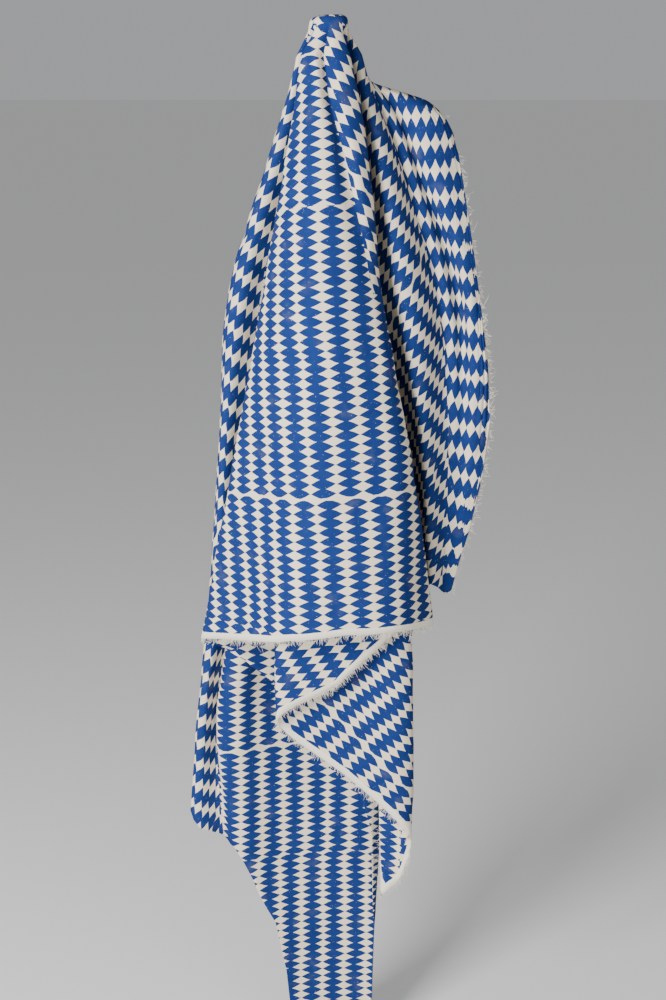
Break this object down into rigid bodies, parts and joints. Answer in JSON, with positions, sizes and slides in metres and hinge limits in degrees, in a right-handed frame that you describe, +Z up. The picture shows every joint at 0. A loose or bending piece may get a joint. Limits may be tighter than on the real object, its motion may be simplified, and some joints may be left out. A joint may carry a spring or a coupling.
{
  "type": "hung length of block printed cotton",
  "caption": "Length of block printed cotton cloth hung from one point, falling in deep uneven folds with a long tail behind.",
  "frame": {"origin": "top of the cloth's peak, where the hidden support holds it", "axes": "+X to the right of the front panel seen from the front, +Y away from the viewer, +Z up along the hang"},
  "size_m": [0.3594, 0.2443, 1.2955],
  "materials": {
    "printed_cotton": "plain weave cotton printed with rows of pointed lozenges, blue on cream, matt"
  },
  "bodies": {
    "root": {"printed_cloth": "printed_cotton"}
  },
  "joints": []
}
